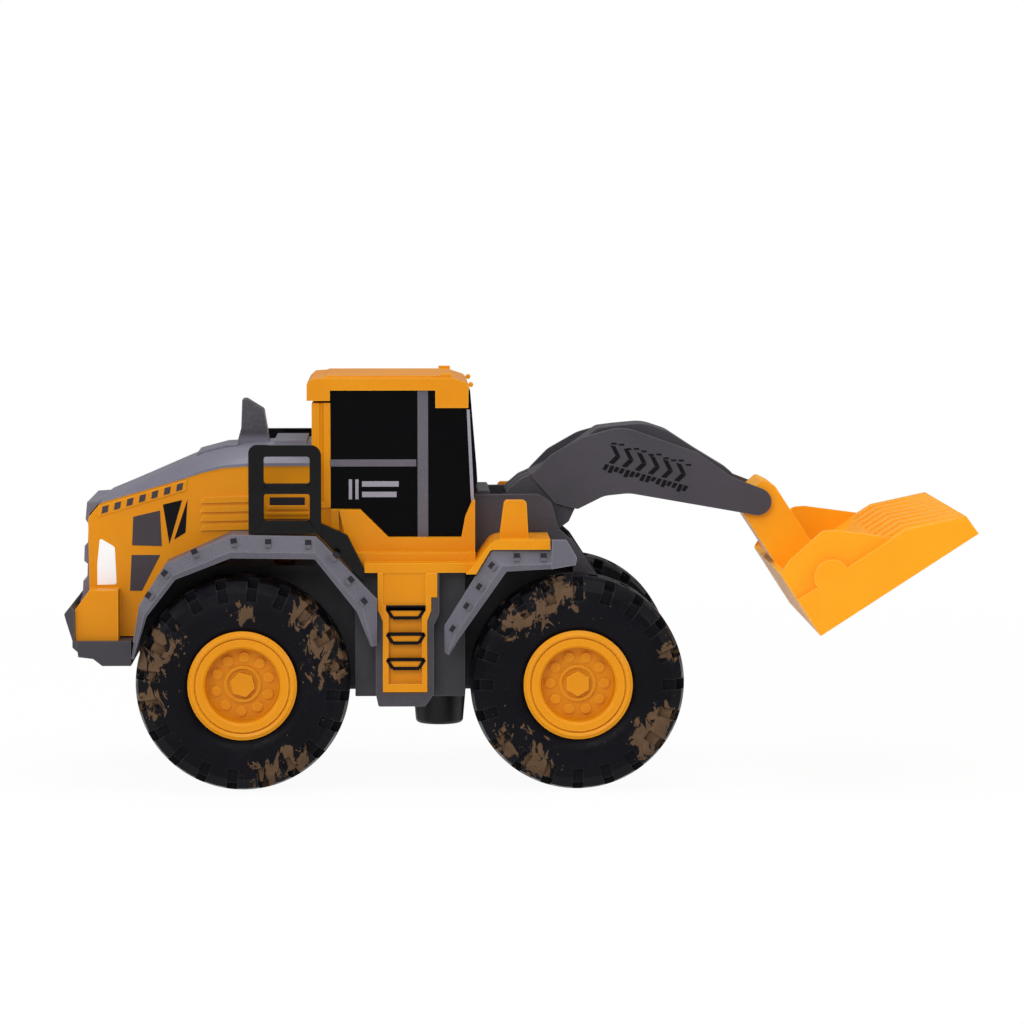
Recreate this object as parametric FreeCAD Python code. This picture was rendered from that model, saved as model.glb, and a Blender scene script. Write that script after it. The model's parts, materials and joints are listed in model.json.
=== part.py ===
import FreeCAD, Part
import math
import os

# Toy front loader. Millimetres, +X forward, +Y to the vehicle's left, +Z up.
# The origin is on the ground, under the middle of the whole toy. Outlines are drawn with the
# axles at axle_line, and export raises every piece so that the tyres stand on the ground.

os.makedirs("parts", exist_ok=True)
V = FreeCAD.Vector

# ---- driving dimensions ----------------------------------------------------------------
wheelbase = 123.0
rear_axle_x = -101.6
front_axle_x = rear_axle_x + wheelbase
tyre_radius = 39.4
axle_line = 38.7
tyre_width = 34.0
overall_width = 124.0
lug_count = 20
lug_width = 3.8
lug_depth = 8.4
rim_radius = 20.0
rim_recess_radius = 13.8
rim_recess_depth = 8.0
bolt_count = 10
bolt_radius = 1.8
bolt_circle_radius = 9.95
hub_radius = 6.7
hub_hex = 8.0
hub_post = 4.0
axle_radius = 1.5
running_gap = 0.08
seat_gap = 0.3

wall = 2.0
chassis_half = 21.7
chassis_bottom = 34.7
chassis_top = 79.3
step_block_half = 44.0
deck_half = 52.0
step_half = 46.0
fender_half = 60.0
fender_lip = 5.0
lip_facet = 0.72
body_half = 36.0
corner_half = 47.0
grille_half = 30.0
rail_half = fender_half - 5.0
rail_depth = 4.0
ladder_depth = 4.0

deck_lip = 3.5
window_sill_z = 91.3
hood_seam_z = 117.6
cowl_top = 101.8
cab_roof_z = 145.6
roof_thickness = 4.6
roof_crown = 0.6

lift_pivot_x = front_axle_x - 17.2
lift_pivot_z = 96.7
pivot_radius = 2.0
tower_plate_out = 26.5
tower_plate = 3.5
tower_foot = 66.0
pin_cover = 0.8
arm_plate_out = 20.0
arm_plate = 2.6
root_radius = 11.0
tip_reach_x = 86.4
tip_reach_z = 6.1
tip_radius = 5.1

bucket_tilt_deg = 33.0
bucket_floor = 69.0
bucket_back = 27.0
bucket_half = 61.0
bucket_wall = 2.0
band_height = 15.8
band_depth = 2.4
bracket_half = 17.0
bracket_long = 15.7
rib_count = 8
rib_width = 7.0
rib_height = 0.8
screw_head = 2.6

axle_z = axle_line
tyre_inner = overall_width / 2 - tyre_width
cab_rear_x = rear_axle_x + 25.2
cab_front_x = front_axle_x - 39.8
deck_top = chassis_top + deck_lip
sill_rear = cab_rear_x + 19.6
tip_x = lift_pivot_x + tip_reach_x
tip_z = lift_pivot_z + tip_reach_z


# ---- geometry helpers --------------------------------------------------------------------
def outline(points):
    """Closed wire in the XZ plane. A point's third value is its corner radius."""
    corners = []
    count = len(points)
    for i, point in enumerate(points):
        here = V(point[0], 0, point[1])
        if len(point) < 3:
            corners.append((here, None, here))
            continue
        back = points[i - 1]
        ahead = points[(i + 1) % count]
        to_back = V(back[0] - point[0], 0, back[1] - point[1]).normalize()
        to_ahead = V(ahead[0] - point[0], 0, ahead[1] - point[1]).normalize()
        half = to_back.getAngle(to_ahead) / 2
        reach = point[2] / math.tan(half)
        inward = (to_back + to_ahead).normalize()
        middle = here + inward * (point[2] / math.sin(half) - point[2])
        corners.append((here + to_back * reach, middle, here + to_ahead * reach))
    edges = []
    for i, (start, middle, end) in enumerate(corners):
        following = corners[(i + 1) % count][0]
        if middle is not None:
            edges.append(Part.Arc(start, middle, end).toShape())
        if end.distanceToPoint(following) > 1e-6:
            edges.append(Part.LineSegment(end, following).toShape())
    return Part.Wire(edges)


def slab(points, y_low, y_high):
    """Outline in XZ, extruded from y_low to y_high."""
    shape = Part.Face(outline(points)).extrude(V(0, y_high - y_low, 0))
    shape.translate(V(0, y_low, 0))
    return shape


def block(x_low, x_high, y_low, y_high, z_low, z_high):
    return Part.makeBox(x_high - x_low, y_high - y_low, z_high - z_low, V(x_low, y_low, z_low))


def rod(radius, x, z, y_low, y_high):
    """Cylinder along Y."""
    return Part.makeCylinder(radius, y_high - y_low, V(x, y_low, z), V(0, 1, 0))


def post(radius, x, y, z_low, z_high):
    """Cylinder along Z."""
    return Part.makeCylinder(radius, z_high - z_low, V(x, y, z_low), V(0, 0, 1))


def mirrored(shape):
    """The same shape on the other side of the toy's middle plane."""
    return shape.mirror(V(0, 0, 0), V(0, 1, 0))


def joined(shapes):
    """One solid made of several that touch or overlap."""
    return shapes[0].fuse(shapes[1:]).removeSplitter()


def at(origin_x, points):
    """Moves outline points along X."""
    return [(origin_x + point[0],) + tuple(point[1:]) for point in points]


def export(name, shape):
    raised = shape.copy()
    raised.translate(V(0, 0, tyre_radius - axle_line))
    raised.exportStep("parts/" + name + ".step")


def export_pair(name, left):
    """Writes a piece on the left and its mirror image on the right."""
    export(name + "_left", left)
    export(name + "_right", mirrored(left))


# ---- wheels ------------------------------------------------------------------------------
def tyre(x, side, turned):
    """Chunky tyre with square lug notches round both shoulders."""
    inner = tyre_inner
    outer = overall_width / 2
    shoulder = tyre_radius - 1.2
    bead = rim_radius + running_gap
    section = [
        V(bead, inner + 2.0, 0), V(bead + 2.5, inner + 0.6, 0), V(bead + 8.0, inner, 0),
        V(shoulder - 3.8, inner + 0.8, 0), V(shoulder, inner + 4.0, 0),
        V(tyre_radius, inner + 9.5, 0), V(tyre_radius, outer - 9.5, 0),
        V(shoulder, outer - 4.0, 0), V(shoulder - 3.8, outer - 0.8, 0),
        V(bead + 8.0, outer, 0), V(bead + 2.5, outer - 0.6, 0), V(bead, outer - 2.0, 0),
    ]
    face = Part.Face(Part.makePolygon(section + section[:1]))
    shape = face.revolve(V(0, 0, 0), V(0, 1, 0), 360)
    notches = []
    for i in range(lug_count):
        angle = 360.0 * i / lug_count
        for low, high, turn in (
            (inner - 1.0, inner + 9.0, 0.0),
            (outer - 9.0, outer + 1.0, 0.0),
            (inner + 13.0, outer - 13.0, 180.0 / lug_count),
        ):
            depth = lug_depth if turn == 0.0 else 1.5
            notch = block(
                -lug_width / 2, lug_width / 2, low, high, tyre_radius - depth, tyre_radius + 2
            )
            if turn == 0.0:
                floor_y = inner + 2.4 if low < inner else outer - 2.4
                keep_low = floor_y if low < inner else low
                keep_high = high if low < inner else floor_y
                step = block(
                    -lug_width, lug_width, keep_low, keep_high, 0, tyre_radius - 3.4
                )
                notch = notch.cut(step)
            notch.rotate(V(0, 0, 0), V(0, 1, 0), angle + turn)
            notches.append(notch)
    shape = shape.cut(notches)
    shape.rotate(V(0, 0, 0), V(0, -1, 0), turned)
    if side < 0:
        shape = mirrored(shape)
    shape.translate(V(x, 0, axle_z))
    return shape


def rim(x, side, turned):
    """Moulded rim: flange, groove, dished centre, bolts and a hexagonal hub."""
    outer = overall_width / 2
    inner = tyre_inner + 2.2
    back = outer - rim_recess_depth
    section = [
        V(axle_radius, inner, 0), V(hub_post, inner, 0), V(hub_post, back - wall, 0),
        V(rim_radius - wall, back - wall, 0), V(rim_radius - wall, inner, 0),
        V(rim_radius, inner, 0), V(rim_radius, outer - 0.8, 0),
        V(rim_radius - 1.4, outer + 0.2, 0), V(rim_radius - 2.3, outer - 0.1, 0),
        V(rim_radius - 2.5, outer - 1.0, 0), V(rim_radius - 2.8, outer - 1.0, 0),
        V(rim_radius - 3.0, outer - 0.1, 0), V(rim_recess_radius + 0.8, outer - 0.2, 0),
        V(rim_recess_radius, outer - 1.0, 0), V(rim_recess_radius - 0.6, back, 0),
        V(axle_radius, back, 0),
    ]
    shape = Part.Face(Part.makePolygon(section + section[:1])).revolve(V(0, 0, 0), V(0, 1, 0), 360)
    extras = []
    for i in range(bolt_count):
        angle = 2 * math.pi * i / bolt_count
        bolt_x = bolt_circle_radius * math.cos(angle)
        bolt_z = bolt_circle_radius * math.sin(angle)
        extras.append(rod(bolt_radius, bolt_x, bolt_z, back - 1.0, back + 1.0))
    ring = rod(hub_radius, 0, 0, back - 1.0, back + 1.2).cut(
        rod(hub_radius - 1.0, 0, 0, back + 0.3, back + 2.0)
    )
    ring = ring.cut(rod(axle_radius, 0, 0, back - 2.0, back + 3.0))
    extras.append(ring)
    corner = hub_hex / 2 / math.cos(math.pi / 6)
    hexagon = [
        (corner * math.cos(math.pi / 3 * (k + 0.5)), corner * math.sin(math.pi / 3 * (k + 0.5)))
        for k in range(6)
    ]
    extras.append(slab(hexagon, back + 0.2, back + 3.0))
    shape = joined([shape] + extras)
    shape.rotate(V(0, 0, 0), V(0, -1, 0), turned)
    if side < 0:
        shape = mirrored(shape)
    shape.translate(V(x, 0, axle_z))
    return shape


def axle(x):
    """Steel rod pressed into the two rims, its ends under the hub caps."""
    reach = overall_width / 2 - rim_recess_depth + 0.2
    return rod(axle_radius, x, axle_z, -reach, reach)


for end, x, tyre_turn, rim_turn in (
    ("front", front_axle_x, 0.0, 0.0), ("rear", rear_axle_x, -6.2, 14.5),
):
    export(end + "_axle", axle(x))
    for side_name, side in (("left", 1), ("right", -1)):
        export(end + "_tyre_" + side_name, tyre(x, side, tyre_turn))
        export(end + "_rim_" + side_name, rim(x, side, rim_turn))


# ---- chassis -----------------------------------------------------------------------------
chassis_rear = rear_axle_x - 39.8
chassis_front = front_axle_x + 1.7
step_rear = rear_axle_x + 41.2
step_front = front_axle_x - 41.2
screw_places = [
    (rear_axle_x - 24.0, 12.0), (rear_axle_x - 24.0, -12.0),
    (step_front - 4.0, 16.0), (step_front - 4.0, -16.0),
    (front_axle_x - 12.0, 12.0), (front_axle_x - 12.0, -12.0),
]


def chassis_tub():
    """Open-bottomed beam between the wheels, with a wide block between the axles."""
    beam = block(chassis_rear, chassis_front, -chassis_half, chassis_half, chassis_bottom, chassis_top)
    wide = block(step_rear, step_front, -step_block_half, step_block_half, chassis_bottom, chassis_top)
    shape = beam.fuse(wide)
    hollow = block(
        chassis_rear + wall, chassis_front - wall, -chassis_half + wall, chassis_half - wall,
        chassis_bottom - 1, chassis_top - wall,
    )
    side_hollow = block(
        step_rear + wall, step_front - wall, -step_block_half + wall, step_block_half - wall,
        chassis_bottom - 1, chassis_top - wall,
    )
    shape = shape.cut([hollow, side_hollow])
    bosses = [post(3.2, x, y, chassis_bottom + 0.01, chassis_top - wall + 0.5) for x, y in screw_places]
    for x in (rear_axle_x, front_axle_x):
        for low in (-chassis_half, chassis_half - 2 * wall):
            bosses.append(rod(axle_radius + 2.2, x, axle_z, low, low + 2 * wall))
    shape = joined([shape] + bosses)
    bores = [
        rod(axle_radius + running_gap, x, axle_z, -60, 60) for x in (rear_axle_x, front_axle_x)
    ]
    pilots = [post(1.0, x, y, chassis_bottom - 1, chassis_bottom + 12) for x, y in screw_places]
    return shape.cut(bores + pilots)


def base_plate():
    """Cover screwed under the chassis, closing it below the axles."""
    beam = block(
        chassis_rear, chassis_front, -chassis_half, chassis_half, chassis_bottom - wall, chassis_bottom
    )
    wide = block(
        step_rear, step_front, -step_block_half, step_block_half, chassis_bottom - wall, chassis_bottom
    )
    shape = beam.fuse(wide).removeSplitter()
    holes = [post(1.1, x, y, chassis_bottom - 2 * wall, chassis_bottom + 1) for x, y in screw_places]
    return shape.cut(holes)


def chassis_screws():
    """Six self-tapping screws, heads under the base plate."""
    screws = []
    for x, y in screw_places:
        head = post(screw_head, x, y, chassis_bottom - wall - 1.4, chassis_bottom - wall)
        slot = block(x - 2.0, x + 2.0, y - 0.3, y + 0.3, chassis_bottom - wall - 2, chassis_bottom - wall - 0.8)
        cross = block(x - 0.3, x + 0.3, y - 2.0, y + 2.0, chassis_bottom - wall - 2, chassis_bottom - wall - 0.8)
        shank = post(0.95, x, y, chassis_bottom - wall - 0.5, chassis_bottom + 10)
        screws.append(head.cut([slot, cross]).fuse(shank).removeSplitter())
    return Part.makeCompound(screws)


cup_x = (step_rear + step_front) / 2 + 11.2
cup_height = chassis_bottom - wall - 17.4


def belly_cup():
    """Round tapered housing under the middle of the chassis."""
    top = chassis_bottom - wall
    shape = Part.makeCone(8.9, 10.2, cup_height, V(cup_x, 0, top - cup_height), V(0, 0, 1))
    lower_edges = [e for e in shape.Edges if e.BoundBox.ZMax < top - cup_height + 0.01]
    return shape.makeFillet(1.6, lower_edges)


export("chassis_tub", chassis_tub())
export("base_plate", base_plate())
export("chassis_screws", chassis_screws())
export("belly_cup", belly_cup())


# ---- rear body ---------------------------------------------------------------------------
rear_lip = [
    ((-40.6, 48.5), (-39.5, 48.5)), ((-37.6, 68.2), (-34.9, 63.9)), ((-28.1, 83.0), (-24.3, 77.6)),
    ((-3.9, 93.8), (-4.1, 85.4)), ((27.0, 93.2), (26.6, 85.0)), ((49.3, 70.0), (42.0, 65.6)),
    ((49.3, 53.0), (47.0, 53.0)),
]


def fender_lip_band(stations, origin_x):
    """Deep lip along a wheel arch: a broad sloping facet, and a narrow one under it."""
    root = fender_half - fender_lip
    sections = []
    for outer, inner in stations:
        facet_x = outer[0] + lip_facet * (inner[0] - outer[0])
        facet_z = outer[1] + lip_facet * (inner[1] - outer[1])
        corners = [
            V(outer[0], root, outer[1]), V(outer[0], root + 0.5 * fender_lip, outer[1]),
            V(facet_x, fender_half, facet_z), V(inner[0], fender_half - 1.0, inner[1]),
            V(inner[0], root, inner[1]),
        ]
        sections.append(Part.makePolygon(corners + corners[:1]))
    band = Part.makeLoft(sections, True, True)
    band.translate(V(origin_x, 0, 0))
    return band


def skin_under(points, thickness):
    """Thin closed outline that follows the outer line on its wheel side."""
    low = []
    for i, point in enumerate(points):
        before = points[max(i - 1, 0)]
        after = points[min(i + 1, len(points) - 1)]
        along = V(after[0] - before[0], 0, after[1] - before[1]).normalize()
        low.append((point[0] + along.z * thickness, point[1] - along.x * thickness))
    return points + low[::-1]


def rear_fender():
    """Wheel-arch band: a deep outer lip, and a thin skin in to the body side."""
    line = at(rear_axle_x, [(-40.2, 54.3)] + [outer for outer, inner in rear_lip[1:]])
    skin = slab(skin_under(line, 0.75 * wall), body_half, fender_half - fender_lip + 0.5)
    beside_cab = block(cab_rear_x - seat_gap, rear_axle_x + 60, 0, step_half + seat_gap, 40, 120)
    beside_sill = block(sill_rear - seat_gap, rear_axle_x + 60, 0, deck_half + seat_gap, 40, 120)
    return joined([fender_lip_band(rear_lip, rear_axle_x), skin.cut([beside_cab, beside_sill])])


seam_line = [
    (-53.4, 103.6), (-52.0, 104.4), (-37.0, 108.7), (-22.5, 112.9), (-15.0, 115.3), (-7.9, 116.9),
    (1.7, hood_seam_z), (25.2, hood_seam_z),
]
shell_side = at(rear_axle_x, [(-57.3, 72.6), (-57.6, 98.6, 3)] + seam_line + [
    (25.2, 90.0), (-3.0, 90.6), (-25.6, 80.4), (-34.4, 66.4), (-39.0, 54.5), (-57.3, 54.5),
])


def engine_shell():
    """Yellow engine side covers with raised louvres, one moulding across the rear."""
    shape = slab(shell_side, -body_half, body_half)
    inside = at(rear_axle_x, [
        (-55.3, 52.0), (-55.3, 98.0), (-51.2, 102.2), (-21.9, 110.8), (-7.5, 115.1), (2.0, 115.6),
        (23.2, 115.6), (23.2, 60.0), (23.2, 52.0),
    ])
    shape = shape.cut(slab(inside, -body_half + wall, body_half - wall))
    shape = shape.cut(block(chassis_rear, cab_rear_x + 1, -chassis_half - 0.2, chassis_half + 0.2, 50, chassis_top))
    for side in (-1, 1):
        louvres = []
        for i in range(4):
            z = 105.0 - 3.4 * i
            low = body_half - 0.5
            louvre = slab(
                at(rear_axle_x, [(-16.0, z - 1.0), (-14.6, z + 1.2), (5.4, z + 1.6), (5.4, z - 0.6)]),
                low, body_half + 0.9,
            )
            louvres.append(louvre if side > 0 else mirrored(louvre))
        shape = shape.fuse(louvres)
        corner = slab(
            at(rear_axle_x, [(-61.8, 54.0), (-61.8, 65.4), (-56.6, 72.6), (-46.0, 72.6), (-46.0, 54.0)]),
            grille_half + seat_gap, corner_half,
        )
        shape = shape.fuse(corner if side > 0 else mirrored(corner))
    for x in (rear_axle_x - 30.0, rear_axle_x + 14.0):
        shape = shape.fuse(post(4.0, x, 0, chassis_top, 116.0 if x > rear_axle_x else 108.0))
    lamp = slab(tail_lamp_outline, body_half - 2 * wall, body_half + 1)
    return shape.cut([lamp, mirrored(lamp)]).removeSplitter()


tail_lamp_outline = at(rear_axle_x, [
    (-54.3, 73.6), (-54.3, 81.4), (-53.3, 91.0, 0.6), (-47.8, 87.7, 1.2), (-47.2, 73.8, 0.8),
])


def tail_lamp():
    """Lens that fills the opening in the side of the engine shell."""
    return slab(tail_lamp_outline, body_half - wall - 0.6, body_half + 0.1)


def hood_section(x, seam, crown):
    """Half-round-shouldered section of the hood across the toy at one X."""
    rise = crown - seam
    half = [
        (body_half + 0.4, 0.0), (body_half + 0.4, 0.16 * rise), (body_half - 4.0, 0.52 * rise),
        (body_half - 11.0, 0.88 * rise), (body_half - 17.0, rise),
    ]
    corners = [V(x, y, seam + z) for y, z in half]
    corners += [V(x, -y, seam + z) for y, z in half[::-1]]
    return Part.makePolygon(corners + corners[:1])


def hood():
    """Dark engine hood with rounded shoulders, raised panel, air stack and vent box."""
    sections = [
        hood_section(rear_axle_x + x, seam, crown)
        for (x, seam), crown in zip(seam_line, (104.6, 105.6, 112.0, 118.3, 121.4, 123.1, 124.3, 125.4))
    ]
    shape = Part.makeLoft(sections, True, True)
    stack = slab(at(rear_axle_x, [
        (-4.8, 120.0), (-2.0, 130.0, 2), (-1.6, 141.0, 0.8), (0.2, 141.0, 0.6), (6.6, 137.0, 1.5),
        (9.4, 120.0),
    ]), -5.0, 5.0)
    for side in (-1, 1):
        wedge = [V(0, side * 5.1, 150), V(0, side * 5.1, 128), V(0, side * 3.4, 150)]
        cutter = Part.Face(Part.makePolygon(wedge + wedge[:1])).extrude(V(30, 0, 0))
        cutter.translate(V(rear_axle_x - 10, 0, 0))
        stack = stack.cut(cutter)
    vent = block(rear_axle_x + 11.0, rear_axle_x + 23.0, -24.0, 24.0, 120.0, 126.3)
    panel = slab(
        at(rear_axle_x, [(-19.0, 118.0), (-18.0, 121.4), (-7.4, 124.2), (-3.0, 124.4), (-3.0, 118.0)]),
        -16.0, 16.0,
    )
    return joined([shape, stack, vent, panel])


def rear_grille():
    """Stepped radiator grille between the tail lamps."""
    shape = slab(at(rear_axle_x, [
        (-57.3, 67.0), (-61.4, 67.0), (-60.3, 69.1), (-60.0, 74.6), (-58.5, 75.4), (-58.3, 80.9),
        (-59.6, 82.0), (-59.4, 87.6), (-58.2, 88.7), (-57.9, 95.7), (-59.0, 97.6), (-58.4, 103.9),
        (-53.8, 104.2), (-53.8, 103.6), (-57.4, 99.6), (-57.6, 98.6), (-57.3, 72.6),
    ]), -grille_half, grille_half)
    slots = []
    for i in range(9):
        y = -26.0 + 6.5 * i
        slots.append(block(rear_axle_x - 62.0, rear_axle_x - 58.9, y - 1.6, y + 1.6, 70.5, 102.0))
    return shape.cut(slots)


def rear_bumper():
    """Grey counterweight bumper, full width behind the rear wheels."""
    shape = slab(at(rear_axle_x, [
        (-63.2, 67.1), (-66.0, 63.7, 0.8), (-65.2, 61.1), (-62.8, 54.1), (-62.8, 51.6), (-60.8, 50.1),
        (-60.6, 48.2), (-55.1, 47.5), (-51.8, 44.9), (-41.2, 44.9), (-41.2, 54.0), (-61.9, 54.0),
        (-61.9, 65.2), (-62.6, 66.2),
    ]), -50.0, 50.0)
    ends = []
    for side in (-1, 1):
        corner = [V(-70, side * 51, 0), V(-70, side * 42, 0), V(-60, side * 51, 0)]
        cutter = Part.Face(Part.makePolygon(corner + corner[:1])).extrude(V(0, 0, 60))
        cutter.translate(V(rear_axle_x, 0, 30))
        ends.append(cutter)
    return shape.cut(ends)


def handrail():
    """Glossy black guard frame on the fender, with its foot strip down the fender's edge."""
    frame = slab(at(rear_axle_x, [
        (2.4, 94.0), (2.4, 126.5, 3), (29.0, 126.5, 4), (29.0, 94.0),
    ]), rail_half - rail_depth, rail_half)
    windows = []
    for low, high in ((98.8, 108.6), (112.4, 122.3)):
        windows.append(slab(at(rear_axle_x, [
            (8.0, low, 1), (8.0, high, 1), (24.8, high, 1), (24.8, low, 1),
        ]), rail_half - 2 * rail_depth, rail_half + 1))
    frame = frame.cut(windows)
    foot = slab(at(rear_axle_x, [
        (3.0, 94.1), (3.0, 99.0), (25.5, 99.0), (38.5, 93.2, 2), (44.5, 81.0), (44.5, 75.7),
        (36.6, 83.9), (27.8, 93.1), (26.6, 93.9),
    ]), step_half + seat_gap, rail_half - rail_depth)
    return joined([frame, foot])


export("engine_shell", engine_shell())
export("engine_hood", hood())
export("rear_grille", rear_grille())
export("rear_bumper", rear_bumper())
export_pair("tail_lamp", tail_lamp())
export_pair("handrail", handrail())
export_pair("rear_fender", rear_fender())


# ---- middle body -------------------------------------------------------------------------
trim_line = at(front_axle_x, [
    (-41.0, chassis_top), (-37.4, chassis_top), (-32.0, 88.3, 1.5), (-10.2, 88.3), (-10.2, 92.0),
    (-31.2, 92.0, 6), (-37.8, deck_top),
])


def deck():
    """Stepped yellow deck under the cab, running on as trim over the front wheel arches."""
    sill = block(sill_rear, front_axle_x - 37.4, -deck_half, deck_half, chassis_top, deck_top)
    step = block(
        cab_rear_x + 14.5, front_axle_x - 37.4, -step_half, step_half, chassis_top, deck_top + 3.4
    )
    cowl = slab([
        (cab_rear_x + 0.1, chassis_top + 7.5), (cab_rear_x + 0.1, cowl_top),
        (cab_rear_x + 18.0, cowl_top - 0.2),
        (cab_rear_x + 28.4, window_sill_z), (cab_front_x - 2.6, window_sill_z),
        (cab_front_x - 1.2, 99.0, 4), (cab_front_x + 1.4, 105.0), (cab_front_x + 2.4, 105.0),
        (cab_front_x + 2.4, chassis_top), (cab_rear_x + 8.0, chassis_top),
    ], -40.0, 40.0)
    shape = joined([sill, step, cowl])
    well = slab([
        (cab_rear_x + 14.2, chassis_top - 1), (cab_rear_x + 14.2, 99.8), (cab_rear_x + 17.0, 99.8),
        (cab_rear_x + 27.6, window_sill_z - wall), (cab_front_x - 1.0, window_sill_z - wall),
        (cab_front_x - 0.4, chassis_top - 1),
    ], -40.0 + wall, 40.0 - wall)
    shape = shape.cut(well)
    for side in (-1, 1):
        recess = slab([
            (cab_rear_x - 1, 92.5), (cab_rear_x - 1, 104.0), (cab_rear_x + 9.6, 104.0),
            (cab_rear_x + 12.2, 92.5),
        ], body_half - 0.5, 41.0)
        rib = slab([
            (cab_rear_x + 7.6, 92.5), (cab_rear_x + 7.2, cowl_top - 0.1), (cab_rear_x + 9.8, cowl_top - 0.1),
            (cab_rear_x + 10.2, 92.5),
        ], body_half - 0.6, 38.6)
        trim = slab(trim_line, tower_plate_out + 0.3, fender_half - 1.0)
        pillar = slab(at(front_axle_x, [
            (-28.8, 91.0), (-26.9, 105.8, 1.5), (-18.7, 105.8, 1.5), (-17.9, 91.0),
        ]), 46.0, 51.5)
        if side < 0:
            recess, rib, trim, pillar = [mirrored(s) for s in (recess, rib, trim, pillar)]
        shape = joined([shape.cut(recess), rib, trim, pillar])
    return shape


front_lip = [
    ((-48.9, 50.6), (-47.2, 49.6)), ((-48.9, 60.3), (-43.8, 55.4)), ((-31.6, 88.0), (-26.2, 80.3)),
    ((-9.6, 88.0), (-9.8, 81.2)),
]


def front_fender():
    """Grey arch over the front wheel, hung under the deck's trim."""
    end = slab(at(front_axle_x, [
        (-9.8, 81.2), (-9.6, 91.8), (-4.2, 91.8, 1), (-0.4, 85.4, 1), (-0.9, 82.7),
    ]), fender_half - fender_lip, fender_half)
    cover = slab(at(front_axle_x, [
        (-37.6, 74.0), (-31.6, 84.4), (-30.9, 88.0), (-9.6, 88.0), (-9.6, 86.0), (-30.0, 86.0),
        (-36.0, 74.0),
    ]), tower_plate_out + seat_gap, fender_half - fender_lip + 0.5)
    return joined([fender_lip_band(front_lip, front_axle_x), end, cover])


ladder_x = (step_rear + step_front) / 2 - 12.1
surround_out = step_block_half + ladder_depth + 4.0


def ladder_surround():
    """Grey channel on the side of the chassis block that carries the ladder."""
    shape = slab([
        (ladder_x - 0.6, 70.0), (ladder_x - 0.6, 34.4, 1.5), (ladder_x + 0.4, 29.8, 0.8),
        (ladder_x + 17.6, 29.8, 0.8), (ladder_x + 20.8, 34.4, 1.5), (ladder_x + 20.8, 60.0),
        (ladder_x + 22.8, 64.0), (ladder_x + 22.8, chassis_top), (ladder_x + 0.6, chassis_top),
        (ladder_x + 0.6, 70.0),
    ], step_block_half, surround_out)
    channel = slab([
        (ladder_x + 0.1, chassis_top + 1), (ladder_x + 0.1, 65.4), (ladder_x + 1.9, 61.4),
        (ladder_x + 1.9, 34.9), (ladder_x + 18.5, 34.9), (ladder_x + 18.5, 61.4),
        (ladder_x + 20.0, 65.4), (ladder_x + 20.0, 70.0), (ladder_x + 22.2, 70.0),
        (ladder_x + 22.2, chassis_top + 1),
    ], step_block_half + 2.0, surround_out + 1)
    return shape.cut(channel)


def ladder():
    """Yellow three-step ladder with a recessed upper panel."""
    low = step_block_half + 2.0
    high = surround_out + 0.8
    shape = slab([
        (ladder_x + 0.2, chassis_top), (ladder_x + 0.2, 65.4), (ladder_x + 2.0, 61.5),
        (ladder_x + 2.0, 35.2), (ladder_x + 18.4, 35.2), (ladder_x + 18.4, 61.5),
        (ladder_x + 19.9, 65.4), (ladder_x + 19.9, 70.2), (ladder_x + 22.1, 70.2),
        (ladder_x + 22.1, chassis_top),
    ], low, high)
    panel = slab([
        (ladder_x + 2.3, chassis_top + 1), (ladder_x + 2.3, 67.2), (ladder_x + 17.8, 67.2),
        (ladder_x + 17.8, chassis_top + 1),
    ], high - 1.2, high + 1)
    run = slab([
        (ladder_x + 4.2, 65.6), (ladder_x + 4.2, 38.2), (ladder_x + 16.4, 38.2),
        (ladder_x + 16.4, 65.6),
    ], high - 2.4, high + 1)
    shape = shape.cut([panel, run])
    steps = []
    for z in (62.9, 53.6, 44.2):
        steps.append(slab([
            (ladder_x + 3.6, z + 2.9), (ladder_x + 5.6, z), (ladder_x + 15.0, z),
            (ladder_x + 17.0, z + 2.9),
        ], high - 2.6, high - 0.4))
    return joined([shape] + steps)


export("deck", deck())
export_pair("front_fender", front_fender())
export_pair("ladder_surround", ladder_surround())
export_pair("ladder", ladder())


# ---- cab ---------------------------------------------------------------------------------
glass_line = [
    (cab_rear_x + 7.0, cowl_top), (cab_rear_x + 7.0, cab_roof_z), (cab_front_x + 0.7, cab_roof_z),
    (cab_front_x + 3.0, 118.0, 30), (cab_front_x + 3.4, 111.6, 4), (cab_front_x + 0.9, 105.0),
    (cab_front_x - 1.3, 99.0, 4), (cab_front_x - 2.7, window_sill_z), (cab_rear_x + 28.4, window_sill_z),
    (cab_rear_x + 18.0, cowl_top),
]


def cab_glazing():
    """One-piece dark window insert with raised window bars."""
    shape = slab(glass_line, -body_half + 0.4, body_half - 0.4)
    inside = [
        (cab_rear_x + 9.0, 103.8), (cab_rear_x + 9.0, cab_roof_z - wall),
        (cab_front_x - 1.8, cab_roof_z - wall), (cab_front_x + 0.4, 118.0), (cab_front_x + 0.8, 112.0),
        (cab_front_x - 1.6, 104.0), (cab_front_x - 4.0, window_sill_z - 1),
        (cab_rear_x + 29.8, window_sill_z - 1), (cab_rear_x + 19.0, 103.8),
    ]
    shape = shape.cut(slab(inside, -body_half + wall + 0.4, body_half - wall - 0.4))
    bars = []
    for side in (-1, 1):
        upright = slab([
            (cab_rear_x + 38.2, window_sill_z), (cab_rear_x + 38.6, cab_roof_z),
            (cab_rear_x + 42.7, cab_roof_z), (cab_rear_x + 41.8, window_sill_z),
        ], body_half - 0.6, body_half)
        rail = block(cab_rear_x + 7.0, cab_rear_x + 39.0, body_half - 0.6, body_half - 0.1, 118.4, 120.9)
        for bar in (upright, rail):
            bars.append(bar if side > 0 else mirrored(bar))
    return joined([shape] + bars)


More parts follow.
